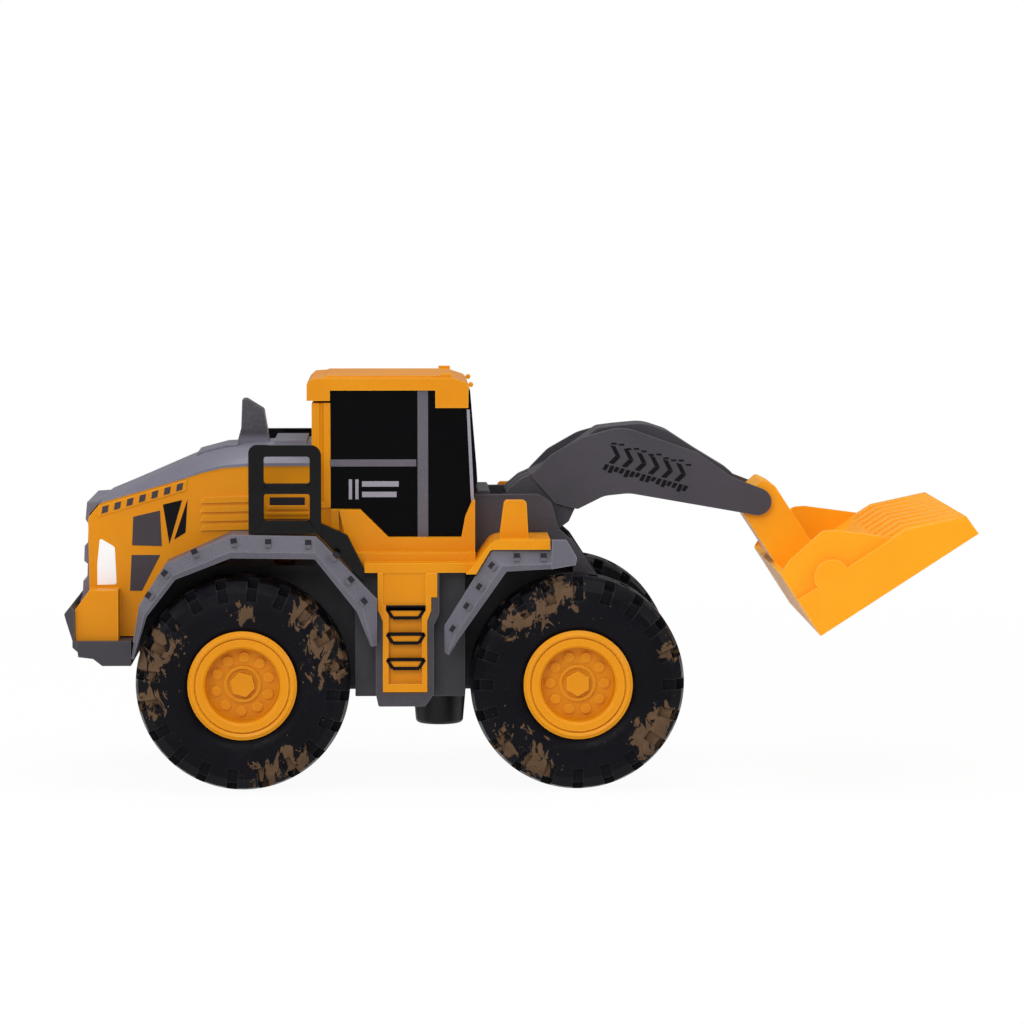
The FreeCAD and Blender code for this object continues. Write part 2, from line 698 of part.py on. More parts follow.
def cab_rear_frame():
    """Yellow rear wall and corner posts of the cab, with a flute down each post."""
    shape = block(cab_rear_x, cab_rear_x + 7.0, -body_half, body_half, cowl_top, 141.0)
    flutes = []
    for side in (-1, 1):
        low, high = sorted((side * (body_half - 0.8), side * (body_half + 1)))
        flutes.append(block(cab_rear_x + 3.0, cab_rear_x + 4.2, low, high, 104.0, 142.0))
    window = block(cab_rear_x - 1, cab_rear_x + 1.2, -26.0, 26.0, 129.5, 139.0)
    return shape.cut(flutes + [window])


def cab_roof():
    """Yellow roof slab with raised crown, corner drops and small roof fittings."""
    top = cab_roof_z + roof_thickness
    out = body_half + 1.0
    slab_part = slab([
        (cab_rear_x - 1.8, cab_roof_z), (cab_rear_x - 1.8, top - 2.2), (cab_rear_x + 0.2, top - 0.3),
        (cab_rear_x + 4.6, top), (cab_front_x - 6.0, top), (cab_front_x - 0.9, top - 1.7),
        (cab_front_x + 0.2, top - 2.9), (cab_front_x + 0.2, cab_roof_z),
    ], -out, out)
    crown = slab([
        (cab_rear_x + 4.6, top), (cab_rear_x + 5.4, top + roof_crown),
        (cab_front_x - 6.4, top + roof_crown), (cab_front_x - 6.0, top),
    ], -out + 5.0, out - 5.0)
    rear_drop = block(cab_rear_x - 1.8, cab_rear_x + 6.8, -out, out, 141.8, cab_roof_z + 1)
    pieces = [slab_part, crown, rear_drop]
    for side in (-1, 1):
        visor = slab([
            (cab_front_x - 12.2, cab_roof_z + 1), (cab_front_x - 12.2, 139.1), (cab_front_x, 139.1),
            (cab_front_x + 0.1, cab_roof_z + 1),
        ], body_half - 0.4, out)
        pieces.append(visor if side > 0 else mirrored(visor))
    pieces.append(block(cab_front_x - 10.4, cab_front_x - 6.0, -out + 1.5, -out + 6.0, top - 0.5, top + 1.5))
    pieces.append(block(cab_front_x - 10.4, cab_front_x - 6.0, out - 6.0, out - 1.5, top - 0.5, top + 1.5))
    for side in (-1, 1):
        pieces.append(rod(0.9, cab_front_x + 1.0, cab_roof_z + 2.0, side * (out - 4.0) - 1.5, side * (out - 4.0) + 1.5))
    return joined(pieces)


export("cab_glazing", cab_glazing())
export("cab_rear_frame", cab_rear_frame())
export("cab_roof", cab_roof())


# ---- loader tower and lift arm -----------------------------------------------------------
def tower():
    """Two tall cheek plates on a base, joined by a sloping web at the front."""
    cheek = [
        (front_axle_x - 37.2, chassis_top), (front_axle_x - 37.2, 106.1), (lift_pivot_x + 3.6, 106.3, 3),
        (lift_pivot_x + 8.6, 103.4, 4), (lift_pivot_x + 10.2, 97.0, 4), (lift_pivot_x + 11.4, 93.2, 3),
        (front_axle_x + 0.2, 88.0), (front_axle_x + 11.2, tower_foot + 5.0),
        (front_axle_x + 11.2, tower_foot), (front_axle_x - 0.4, tower_foot), (front_axle_x - 0.4, chassis_top),
    ]
    inner = tower_plate_out - tower_plate
    plates = [slab(cheek, inner, tower_plate_out), slab(cheek, -tower_plate_out, -inner)]
    floor = block(front_axle_x - 37.2, chassis_front, -inner, inner, chassis_top, chassis_top + wall)
    web = slab(at(front_axle_x, [
        (-0.2, tower_foot + 21.4), (10.4, tower_foot + 5.0), (10.4, tower_foot), (1.7, tower_foot),
        (1.7, chassis_top),
        (-6.0, chassis_top), (-6.0, chassis_top + wall),
    ]), -inner, inner)
    cleat = slab(at(front_axle_x, [
        (-36.6, chassis_top), (-36.6, 107.4, 1), (-31.4, 107.4, 1), (-31.4, 105.6),
        (-34.6, 105.6), (-34.6, chassis_top),
    ]), -inner, inner)
    shape = joined(plates + [floor, web, cleat])
    return shape.cut(lift_pin())


def lift_pin():
    """Steel pin held in blind holes in the two tower cheeks."""
    reach = tower_plate_out - pin_cover
    return rod(pivot_radius, lift_pivot_x, lift_pivot_z, -reach, reach)


arm_inner = arm_plate_out - arm_plate


def arm_side():
    """One cranked side plate of the lift arm."""
    x = lift_pivot_x
    z = lift_pivot_z
    shape = slab([
        (x + 1.1, z + 16.1, 1), (x + 8.6, z + 23.8, 8), (x + 20.0, z + 30.3, 14),
        (x + 35.5, z + 34.6, 18), (x + 63.6, z + 24.6, 8), (x + 77.0, z + 15.2, 14),
        (tip_x + 1.9, tip_z + 4.73), (tip_x - 0.86, tip_z - 5.02), (x + 38.0, z + 9.4, 16),
        (x + 28.6, z + 8.4, 10), (x + 18.6, z + 3.4, 1.5), (x + 16.6, z + 4.0, 0.8), (x + 10.2, z + 5.8),
    ], arm_inner, arm_plate_out)
    shape = shape.fuse(rod(tip_radius, tip_x, tip_z, arm_inner, arm_plate_out)).removeSplitter()
    return shape.cut(tilt_pin())


def arm_root():
    """Root casting between the arm plates that turns on the lift pin."""
    x = lift_pivot_x
    z = lift_pivot_z
    neck = slab([
        (x - 8.0, z + 7.0), (x - 8.4, z + 9.8, 2), (x - 2.8, z + 14.6, 3), (x + 1.6, z + 16.6),
        (x + 7.6, z + 19.6), (x + 27.0, z + 19.0), (x + 27.0, z + 9.0), (x + 18.0, z + 4.2),
        (x + 15.4, z - 1.4, 1.5), (x + 12.6, z - 3.4, 1.5), (x + 6.0, z - 7.6),
    ], -arm_inner, arm_inner)
    drum = rod(root_radius, x, z, -arm_inner, arm_inner)
    shape = joined([neck, drum])
    groove = slab([
        (x - 12.0, z + 10.0), (x - 2.0, z + 19.6), (x + 2.0, z + 15.0), (x - 8.0, z + 4.0),
    ], 5.0, 9.5)
    shape = shape.cut([groove, mirrored(groove)])
    return shape.cut(rod(pivot_radius + running_gap, x, z, -60, 60))


def arm_link():
    """Raised dummy tilt linkage that fills the middle of the arm."""
    x = lift_pivot_x
    z = lift_pivot_z
    return slab([
        (x + 27.3, z + 12.0), (x + 27.3, z + 19.0), (x + 9.0, z + 21.0), (x + 20.0, z + 28.6, 8),
        (x + 26.6, z + 33.4, 4), (x + 33.0, z + 34.2, 6), (x + 44.0, z + 35.2, 16), (x + 53.0, z + 32.2, 10),
        (x + 64.0, z + 25.0, 8), (x + 78.4, z + 16.2, 8), (x + 79.0, z + 12.4), (x + 64.0, z + 12.0), (x + 40.0, z + 12.0),
    ], -11.0, 11.0)


def arm_braces():
    """Two round spacers that hold the arm plates apart along the arm."""
    x = lift_pivot_x
    z = lift_pivot_z
    spacers = [rod(2.4, x + 33.0, z + 14.2, -arm_inner, arm_inner)]
    spacers.append(rod(2.4, x + 70.0, z + 14.2, -arm_inner, arm_inner))
    return spacers


def tilt_pin():
    """Steel pin in blind holes in the two arm tips, through the bucket's bracket."""
    reach = arm_plate_out - pin_cover
    return rod(pivot_radius, tip_x, tip_z, -reach, reach)


# ---- bucket ------------------------------------------------------------------------------
tilt = math.radians(bucket_tilt_deg)
heel_x = tip_x + 19.8
heel_z = tip_z - 46.4


def tray(points):
    """Points along and above the bucket's base line, turned into the toy's XZ plane."""
    placed = []
    for point in points:
        along, above = point[0], point[1]
        x = heel_x + along * math.cos(tilt) - above * math.sin(tilt)
        z = heel_z + along * math.sin(tilt) + above * math.cos(tilt)
        placed.append((x, z) + tuple(point[2:]))
    return placed


def bucket():
    """Bucket with stepped side walls, ribbed cutting floor and a hinge bracket."""
    kink = bucket_floor - 21.2
    tip_above = band_height - 7.9
    floor_top = band_height
    web_top = floor_top - 1.3
    wall_face = bucket_half - band_depth
    upper = slab(tray([
        (0, 0), (0, bucket_back, 2), (5.4, bucket_back + 2.4, 2), (21.6, bucket_back + 4.9, 3),
        (25.6, bucket_back + 2.7, 2),
        (kink - 6.0, floor_top), (kink, floor_top), (bucket_floor - 0.4, tip_above), (bucket_floor, 0),
    ]), wall_face - bucket_wall, wall_face)
    band = slab(tray([
        (0, 0), (0, floor_top), (kink, floor_top), (bucket_floor - 0.4, tip_above), (bucket_floor, 0),
    ]), wall_face, bucket_half)
    lobe_x, lobe_z = tray([(15.2, floor_top)])[0]
    lobe = rod(6.6, lobe_x, lobe_z, wall_face, bucket_half)
    sides = [upper, band, lobe]
    sides += [mirrored(side) for side in sides]
    inner = wall_face - bucket_wall + 0.2
    floor = slab(tray([
        (0.5, floor_top - 2.0), (kink - 0.7, floor_top - 2.0), (bucket_floor - 2.6, tip_above - 1.6),
        (bucket_floor - 0.4, tip_above - 1.2), (bucket_floor - 0.4, tip_above), (kink, floor_top),
        (0.5, floor_top),
    ]), -inner, inner)
    back = slab(tray([(0, 0), (0, bucket_back), (wall, bucket_back), (wall, 0)]), -inner, inner)
    webs = []
    for y in (-29.0, 0.0, 29.0):
        webs.append(slab(tray([
            (1.0, 3.0), (1.0, web_top), (kink - 1.0, web_top), (bucket_floor - 4.0, tip_above - 1.0),
        ]), y - 0.7, y + 0.7))
    webs.append(slab(tray([(33.0, 3.6), (33.0, web_top), (34.4, web_top), (34.4, 3.6)]), -inner, inner))
    ribs = []
    pitch = 2 * inner / rib_count
    for i in range(rib_count):
        middle = -inner + pitch * (i + 0.5)
        ribs.append(slab(tray([
            (kink - 13.0, floor_top - 0.5), (kink - 9.0, floor_top + rib_height),
            (kink, floor_top + rib_height), (bucket_floor - 1.6, tip_above + rib_height),
            (bucket_floor - 0.4, tip_above), (bucket_floor - 0.4, tip_above - 0.8),
            (kink, floor_top - 0.5),
        ]), middle - rib_width / 2, middle + rib_width / 2))
    long_low = 1.7
    bracket = slab(tray([
        (wall - 0.5, 0.5), (wall - 0.5, 25.5), (long_low, 28.0), (long_low, 53.4, 6),
        (long_low + bracket_long - 2.6, 55.4, 1.5), (long_low + bracket_long, 51.0, 3),
        (long_low + bracket_long, 25.5), (long_low + bracket_long + 4.5, floor_top - 0.5),
        (long_low + bracket_long + 4.5, floor_top - 2.0), (long_low + 4.0, floor_top - 2.0),
        (long_low + 4.0, 0.5),
    ]), -bracket_half, bracket_half)
    shape = joined(sides + [floor, back] + webs + ribs + [bracket])
    return shape.cut(rod(pivot_radius + running_gap, tip_x, tip_z, -60, 60))


export("tower", tower())
export("lift_pin", lift_pin())
export_pair("arm_side", arm_side())
export("arm_root", arm_root())
export("arm_link", joined([arm_link()] + arm_braces()))
export("tilt_pin", tilt_pin())
export("bucket", bucket())
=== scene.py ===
"""Toy front loader: looks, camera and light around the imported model."""

import json
import math

import bmesh
import bpy
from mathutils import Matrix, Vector


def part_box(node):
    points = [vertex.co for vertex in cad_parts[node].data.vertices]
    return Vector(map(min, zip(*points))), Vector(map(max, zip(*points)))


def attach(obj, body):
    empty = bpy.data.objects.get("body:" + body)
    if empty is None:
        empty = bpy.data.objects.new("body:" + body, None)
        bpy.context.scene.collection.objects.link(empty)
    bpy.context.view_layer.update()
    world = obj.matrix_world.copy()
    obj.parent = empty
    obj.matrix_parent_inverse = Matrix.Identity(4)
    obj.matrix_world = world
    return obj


MM = 0.001

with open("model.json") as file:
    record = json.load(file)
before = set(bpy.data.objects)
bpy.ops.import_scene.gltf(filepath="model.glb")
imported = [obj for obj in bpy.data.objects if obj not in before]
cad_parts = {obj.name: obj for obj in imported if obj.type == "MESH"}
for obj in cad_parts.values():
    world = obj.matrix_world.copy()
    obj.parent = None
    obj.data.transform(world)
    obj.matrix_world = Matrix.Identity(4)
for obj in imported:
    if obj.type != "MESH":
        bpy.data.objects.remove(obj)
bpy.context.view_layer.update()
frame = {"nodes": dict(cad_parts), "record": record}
nodes = frame["nodes"]


def middle(node):
    """Centre of a node's box, in metres."""
    low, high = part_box(node)
    return (low + high) / 2


REAR = middle("rear_axle")
FRONT = middle("front_axle")
REAR_X = REAR.x / MM
FRONT_X = FRONT.x / MM
DRAWN_AXLE_Z = 38.7  # the heights below are drawn, in mm, about an axle at this height
RAISE = REAR.z / MM - DRAWN_AXLE_Z


# ---- materials ---------------------------------------------------------------------------
def linear(rgb):
    """8-bit sRGB colour as linear RGBA."""
    out = []
    for value in rgb:
        value = value / 255
        out.append(value / 12.92 if value <= 0.04045 else ((value + 0.055) / 1.055) ** 2.4)
    return (*out, 1.0)


class Nodes:
    """Short calls for building a node tree."""

    def __init__(self, name):
        self.material = bpy.data.materials.new(name)
        self.material.use_nodes = True
        self.tree = self.material.node_tree
        self.tree.nodes.clear()
        self.place = self.add("ShaderNodeTexCoord").outputs["Object"]

    def add(self, kind, **values):
        node = self.tree.nodes.new(kind)
        for key, value in values.items():
            setattr(node, key, value)
        return node

    def link(self, source, target):
        self.tree.links.new(source, target)

    def feed(self, socket, value):
        if isinstance(value, bpy.types.NodeSocket):
            self.link(value, socket)
        else:
            socket.default_value = value

    def math(self, operation, a, b=0.0, clamp=False):
        node = self.add("ShaderNodeMath", operation=operation, use_clamp=clamp)
        self.feed(node.inputs[0], a)
        self.feed(node.inputs[1], b)
        return node.outputs[0]

    def ramp(self, value, low, high, to_low=0.0, to_high=1.0):
        node = self.add("ShaderNodeMapRange", interpolation_type="SMOOTHSTEP")
        self.feed(node.inputs["Value"], value)
        node.inputs["From Min"].default_value = low
        node.inputs["From Max"].default_value = high
        node.inputs["To Min"].default_value = to_low
        node.inputs["To Max"].default_value = to_high
        return node.outputs[0]

    def noise(self, scale, detail=3.0, rough=0.55, distortion=0.0, stretch=None, vector=None):
        node = self.add("ShaderNodeTexNoise")
        node.inputs["Scale"].default_value = scale
        node.inputs["Detail"].default_value = detail
        node.inputs["Roughness"].default_value = rough
        node.inputs["Distortion"].default_value = distortion
        source = self.place if vector is None else vector
        if stretch:
            mapping = self.add("ShaderNodeMapping")
            mapping.inputs["Scale"].default_value = stretch
            self.link(source, mapping.inputs["Vector"])
            source = mapping.outputs["Vector"]
        self.link(source, node.inputs["Vector"])
        return node.outputs["Fac"]

    def blend(self, factor, a, b):
        node = self.add("ShaderNodeMix", data_type="RGBA")
        self.feed(node.inputs["Factor"], factor)
        self.feed(node.inputs["A"], a)
        self.feed(node.inputs["B"], b)
        return node.outputs["Result"]

    def bump(self, height, distance, strength=1.0, normal=None):
        node = self.add("ShaderNodeBump")
        node.inputs["Strength"].default_value = strength
        node.inputs["Distance"].default_value = distance
        self.link(height, node.inputs["Height"])
        if normal is not None:
            self.link(normal, node.inputs["Normal"])
        return node.outputs["Normal"]

    def along(self, axis):
        """Object coordinate along one axis, in metres."""
        parts = self.add("ShaderNodeSeparateXYZ")
        self.link(self.place, parts.inputs[0])
        return parts.outputs[axis]

    def edge_highlight_and_wear(self, colour, edge, radius, flat, sharp, share):
        """Turns towards the lighter edge colour where the surface bends within the radius: painted highlight
        and wear along rounded edges.
        """
        rounded = self.add("ShaderNodeBevel", samples=4)
        rounded.inputs["Radius"].default_value = radius * MM
        geometry = self.add("ShaderNodeNewGeometry")
        bend = self.add("ShaderNodeVectorMath", operation="DOT_PRODUCT")
        self.link(rounded.outputs[0], bend.inputs[0])
        self.link(geometry.outputs["Normal"], bend.inputs[1])
        return self.blend(self.ramp(bend.outputs["Value"], flat, sharp, 0.0, share), colour, linear(edge))

    def finish(self, colour, roughness, normal, **sockets):
        shader = self.add("ShaderNodeBsdfPrincipled")
        self.feed(shader.inputs["Base Color"], colour)
        self.feed(shader.inputs["Roughness"], roughness)
        self.link(normal, shader.inputs["Normal"])
        for key, value in sockets.items():
            shader.inputs[key.replace("_", " ")].default_value = value
        output = self.add("ShaderNodeOutputMaterial")
        self.link(shader.outputs[0], output.inputs["Surface"])
        return self.material


def plastic(name, rgb, shade, rough, depth=0.00001, fleck=0.0, edge=None, above=None, **sockets):
    """Moulded plastic: slow tone drift, fine grain, flecks, a painted highlight along rounded edges, and a
    second tone above a height.
    """
    n = Nodes(name)
    drift = n.noise(22.0, detail=4.0)
    fine = n.noise(2600.0, detail=2.0)
    colour = n.blend(n.ramp(drift, 0.3, 0.7), linear(shade), linear(rgb))
    if above:
        height, tone = above
        colour = n.blend(n.ramp(n.along("Z"), height - 3 * MM, height), colour, linear(tone))
    if fleck:
        sparkle = n.noise(5200.0, detail=0.0)
        lighter = tuple(min(255, value + 46) for value in rgb)
        colour = n.blend(n.ramp(sparkle, 0.62, 0.74, 0.0, fleck), colour, linear(lighter))
    if edge:
        # Painted highlight: rounded edges turn towards the lighter edge colour.
        colour = n.edge_highlight_and_wear(colour, edge, 0.6, 0.985, 0.86, 0.55)
    roughness = n.ramp(n.noise(160.0, detail=5.0), 0.25, 0.75, rough - 0.06, rough + 0.07)
    normal = n.bump(fine, depth)
    normal = n.bump(n.noise(120.0, detail=1.0), 0.00006, 0.25, normal)
    return n.finish(colour, roughness, normal, **sockets)


FIN_FOOT = (128.3 + RAISE) * MM
# Each edge colour below is a painted highlight along the moulding's rounded edges.
MAT = {
    "yellow_body": plastic(
        "yellow_moulding", (222, 142, 4), (216, 134, 2), 0.34, edge=(248, 188, 50),
        Specular_IOR_Level=0.2, Subsurface_Weight=0.06, Subsurface_Radius=(0.004, 0.002, 0.0005),
    ),
    "yellow_rim": plastic(
        "yellow_rim_moulding", (224, 144, 6), (216, 136, 4), 0.36, edge=(250, 190, 50),
        Specular_IOR_Level=0.2, Subsurface_Weight=0.08, Subsurface_Radius=(0.004, 0.002, 0.0004),
    ),
    "bucket_yellow": plastic(
        "bucket_moulding", (248, 166, 14), (244, 160, 10), 0.4, edge=(255, 205, 100),
        Specular_IOR_Level=0.25, Subsurface_Weight=0.25, Subsurface_Radius=(0.006, 0.003, 0.0006),
    ),
    "grey_fender": plastic(
        "grey_flecked", (96, 94, 104), (84, 82, 92), 0.42, fleck=0.5, edge=(150, 148, 158),
        Specular_IOR_Level=0.3,
    ),
    "grey_arm": plastic(
        "grey_warm", (66, 62, 69), (56, 53, 60), 0.46, fleck=0.3, edge=(112, 104, 110),
        Specular_IOR_Level=0.3,
    ),
    "dark_hood": plastic(
        "dark_hood_grain", (112, 110, 124), (100, 98, 112), 0.4, fleck=0.45, edge=(150, 148, 160),
        above=(FIN_FOOT, (56, 52, 60)), Specular_IOR_Level=0.35,
    ),
    "dark_chassis": plastic(
        "dark_chassis_grain", (44, 43, 50), (36, 35, 41), 0.5, fleck=0.3, edge=(84, 82, 90),
    ),
    "black_housing": plastic(
        "black_housing_smooth", (24, 23, 28), (18, 17, 22), 0.4, Specular_IOR_Level=0.3,
    ),
    "black_gloss": plastic(
        "black_rail_gloss", (4, 4, 6), (3, 3, 5), 0.16, Specular_IOR_Level=0.2,
    ),
    "dark_window": plastic(
        "window_polish", (4, 4, 6), (2, 2, 4), 0.25, depth=0.000002, Specular_IOR_Level=0.06,
    ),
    "white_lens": plastic(
        "lamp_lens", (250, 250, 250), (244, 244, 246), 0.18, Coat_Weight=0.6, Coat_Roughness=0.05,
    ),
    "steel": plastic("plated_steel", (170, 170, 176), (150, 150, 156), 0.3, Metallic=1.0),
}
# Besides print, the grey, dark, black and pale tones also carry painted highlight, painted shade and a
# painted reflection on the fender pockets, the ladder steps and the windscreen.
PRINT_GREY_AND_HIGHLIGHT = plastic("print_grey_and_highlight", (86, 81, 91), (76, 72, 82), 0.5, fleck=0.5)
PRINT_PALE_AND_REFLECTION = plastic("print_pale_and_reflection", (150, 146, 158), (140, 136, 148), 0.5)
PRINT_BROWN = plastic(
    "print_brown", (66, 59, 64), (58, 51, 56), 0.5, fleck=0.3, Specular_IOR_Level=0.2,
)
PRINT_BLACK_AND_SHADE = plastic("print_black_and_shade", (14, 12, 16), (10, 8, 12), 0.5, Specular_IOR_Level=0.1)
PRINT_DARK_AND_SHADE = plastic("print_dark_and_shade", (38, 34, 40), (32, 28, 34), 0.5, Specular_IOR_Level=0.2)


def tyre_material(name, centre, splashes):
    """Black moulded plastic with mud printed on it, thickest near the given spots.

    A spot is an angle in degrees and a radius in mm about the wheel's centre, and a spread in mm.
    """
    n = Nodes(name)
    x = n.math("SUBTRACT", n.along("X"), centre.x)
    z = n.math("SUBTRACT", n.along("Z"), centre.z)
    cover = None
    for angle, radius, spread in splashes:
        angle = math.radians(angle)
        dx = n.math("SUBTRACT", x, radius * MM * math.cos(angle))
        dz = n.math("SUBTRACT", z, radius * MM * math.sin(angle))
        away = n.math("SQRT", n.math("ADD", n.math("MULTIPLY", dx, dx), n.math("MULTIPLY", dz, dz)))
        near = n.ramp(away, 0.0, spread * MM, 1.0, 0.0)
        cover = near if cover is None else n.math("MAXIMUM", cover, near)
    blots = n.noise(150.0, detail=6.0, rough=0.62, distortion=1.6, stretch=(1.0, 0.25, 0.6))
    specks = n.noise(620.0, detail=2.0, rough=0.6, distortion=0.4, stretch=(1.0, 0.2, 0.7))
    thick = n.math("ADD", n.math("MULTIPLY", cover, 0.3), blots)
    thin = n.math("ADD", n.math("MULTIPLY", cover, 0.17), specks)
    mud = n.math("MAXIMUM", n.ramp(thick, 0.715, 0.735), n.ramp(thin, 0.745, 0.76))
    drift = n.ramp(n.noise(40.0, detail=4.0), 0.3, 0.7)
    black = n.blend(drift, linear((9, 9, 14)), linear((14, 14, 20)))
    dust = n.ramp(n.noise(900.0, detail=3.0), 0.6, 0.8, 0.0, 0.35)
    black = n.blend(dust, black, linear((44, 43, 51)))
    # Painted highlight and wear: the tyre's rounded edges turn a lighter grey.
    black = n.edge_highlight_and_wear(black, (70, 69, 78), 0.4, 0.98, 0.85, 0.6)
    brown = n.blend(n.noise(300.0), linear((74, 56, 42)), linear((108, 84, 62)))
    colour = n.blend(mud, black, brown)
    clean_rough = n.ramp(n.noise(220.0, detail=4.0), 0.3, 0.7, 0.3, 0.5)
    roughness = n.math("MAXIMUM", clean_rough, n.math("MULTIPLY", mud, 0.62))
    normal = n.bump(n.noise(1500.0, detail=3.0), 0.00002, 0.6)
    normal = n.bump(mud, 0.00003, 0.4, normal)
    return n.finish(colour, roughness, normal, Specular_IOR_Level=0.08)


REAR_SPLASHES = (
    (153, 32, 14), (168, 36, 15), (190, 35, 14), (14, 33, 15), (30, 33, 15), (48, 34, 11),
    (-75, 34, 15), (-55, 33, 12), (90, 27, 8),
)
FRONT_SPLASHES = (
    (112, 30, 15), (100, 34, 14), (135, 33, 13), (128, 30, 12), (20, 35, 9), (-35, 33, 15),
    (-140, 33, 16), (-120, 31, 14), (-20, 35, 12),
)


# ---- dressing the CAD nodes --------------------------------------------------------------
def soften(obj, width):
    """Rounds the moulding's edges without touching its mesh."""
    weld = obj.modifiers.new("weld", "WELD")
    weld.merge_threshold = 0.000004
    bevel = obj.modifiers.new("bevel", "BEVEL")
    bevel.width = width * MM
    bevel.segments = 3
    bevel.limit_method = "ANGLE"
    bevel.angle_limit = math.radians(32)
    bevel.harden_normals = True
    bevel.use_clamp_overlap = True
    normals = obj.modifiers.new("normals", "WEIGHTED_NORMAL")
    normals.keep_sharp = True


METAL = ("chassis_screws", "lift_pin", "tilt_pin", "front_axle", "rear_axle")
SLOT_OF = {part["node"]: part["material_slot"] for part in frame["record"]["subparts"]}
EDGE = {
    "engine_shell": 0.7, "deck": 0.7, "cab_roof": 0.7, "cab_rear_frame": 0.5, "engine_hood": 0.8,
    "bucket": 0.4, "tower": 0.5, "arm_root": 0.5, "arm_link": 1.0, "rear_bumper": 0.6,
    "chassis_tub": 0.5, "handrail": 1.9, "rear_fender": 0.5, "front_fender": 0.5, "arm_side": 0.7,
    "ladder": 0.35, "cab_glazing": 0.4, "rear_grille": 0.3, "tyre": 0.35, "rim": 0.35,
}

for name, obj in nodes.items():
    slot = SLOT_OF[name]
    if slot == "tyre_black":
        rear = name.startswith("rear")
        material = tyre_material(
            name + "_rubber", REAR if rear else FRONT, REAR_SPLASHES if rear else FRONT_SPLASHES
        )
    else:
        material = MAT[slot]
    obj.data.materials.clear()
    obj.data.materials.append(material)
    for key, width in EDGE.items():
        if key in name and not (key == "ladder" and "surround" in name):
            soften(obj, width)
            break
    else:
        if name not in METAL:
            soften(obj, 0.3)
    for polygon in obj.data.polygons:
        polygon.use_smooth = True


# ---- helpers for added pieces ------------------------------------------------------------
def finished(name, mesh_bm, material, body, bevel):
    """Makes an object of a bmesh, in metres, and puts it on its body."""
    bmesh.ops.recalc_face_normals(mesh_bm, faces=mesh_bm.faces)
    mesh = bpy.data.meshes.new(name)
    mesh_bm.to_mesh(mesh)
    mesh_bm.free()
    mesh.materials.append(material)
    obj = bpy.data.objects.new(name, mesh)
    bpy.context.scene.collection.objects.link(obj)
    if bevel:
        modifier = obj.modifiers.new("bevel", "BEVEL")
        modifier.width = bevel * MM
        modifier.segments = 2
        modifier.limit_method = "ANGLE"
        modifier.angle_limit = math.radians(30)
    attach(obj, body)
    return obj


def add_prism(mesh_bm, points, y_low, y_high, mirror=1):
    """Outline of (x, z) in mm, drawn about the axle line, extruded along Y."""
    low = [mesh_bm.verts.new((x * MM, mirror * y_low * MM, (z + RAISE) * MM)) for x, z in points]
    high = [mesh_bm.verts.new((x * MM, mirror * y_high * MM, (z + RAISE) * MM)) for x, z in points]
    mesh_bm.faces.new(low)
    mesh_bm.faces.new(high)
    for i in range(len(points)):
        j = (i + 1) % len(points)
        mesh_bm.faces.new((low[i], low[j], high[j], high[i]))


def both_sides(name, outlines, y_low, y_high, material, body, bevel=0.0):
    """The same prisms on the left and the right of the toy."""
    for side, mirror in (("left", 1), ("right", -1)):
        mesh_bm = bmesh.new()
        for points in outlines:
            add_prism(mesh_bm, points, y_low, y_high, mirror)
        finished(f"{name}_{side}", mesh_bm, material, body, bevel)


def from_rear(points):
    """The same outline with x measured from the rear axle."""
    return [(x + REAR_X, z) for x, z in points]


# ---- engine side prints and trim ---------------------------------------------------------
SKIN = 36.0
SUNK = 0.2  # how far prints and trims reach into what carries them
STRIP_START = (-51.3, 101.7)
STRIP_SLOPE = 0.297
SQUARE_PITCH = 4.6


def on_strip(along, up):
    """A place on the strip under the hood's edge, which climbs towards the cab."""
    return (STRIP_START[0] + along, STRIP_START[1] + along * STRIP_SLOPE + up)


strip = [on_strip(-2.6, -2.0), on_strip(30.2, -2.0), on_strip(30.4, 2.0), on_strip(-2.4, 2.0)]
squares = []
for i in range(7):
    along = SQUARE_PITCH * i
    squares.append(from_rear([
        on_strip(along - 1.3, -1.25), on_strip(along + 1.0, -1.25), on_strip(along + 1.4, 1.25),
        on_strip(along - 0.9, 1.25),
    ]))
panels = [
    [(-40.9, 98.9), (-31.0, 101.2), (-30.4, 88.0), (-41.4, 88.3)],
    [(-41.6, 84.7), (-31.0, 84.7), (-37.8, 71.4), (-42.3, 71.4)],
]
triangles = [
    [(-29.9, 103.4), (-22.8, 105.1), (-27.6, 88.7)],
    [(-20.8, 105.4), (-21.6, 93.0), (-25.8, 90.4)],
]
inset = [(9.6, 103.1), (22.6, 103.1), (22.6, 106.0), (9.6, 106.0)]
inset_frame = [
    [(8.6, 101.4), (23.6, 101.4), (23.6, 103.0), (8.6, 103.0)],
    [(8.0, 99.4), (24.2, 99.4), (24.2, 100.6), (8.0, 100.6)],
]
both_sides(
    "vent_strip", [from_rear(strip)], SKIN - 0.3, SKIN + 0.45,
    MAT["yellow_body"], "vehicle", 0.25,
)
both_sides("vent_squares", squares, SKIN + 0.3, SKIN + 0.6, PRINT_BROWN, "vehicle")
both_sides(
    "shell_panels", [from_rear(p) for p in panels], SKIN - SUNK, SKIN + 0.18,
    PRINT_BROWN, "vehicle", 0.1,
)
both_sides(
    "shell_triangles", [from_rear(p) for p in triangles], SKIN - SUNK, SKIN + 0.18,
    PRINT_BLACK_AND_SHADE, "vehicle", 0.1,
)
both_sides(
    "shell_inset", [from_rear(inset)], SKIN - SUNK, SKIN + 0.1, PRINT_DARK_AND_SHADE, "vehicle",
)
both_sides(
    "shell_inset_frame", [from_rear(p) for p in inset_frame], SKIN - SUNK, SKIN + 0.6,
    MAT["yellow_body"], "vehicle", 0.25,
)


# ---- fender pockets: painted highlight and shade -----------------------------------------
POCKET_FACE = 59.9
POCKET_HALF = 1.15
LIT_LIP_TALL = 1.3


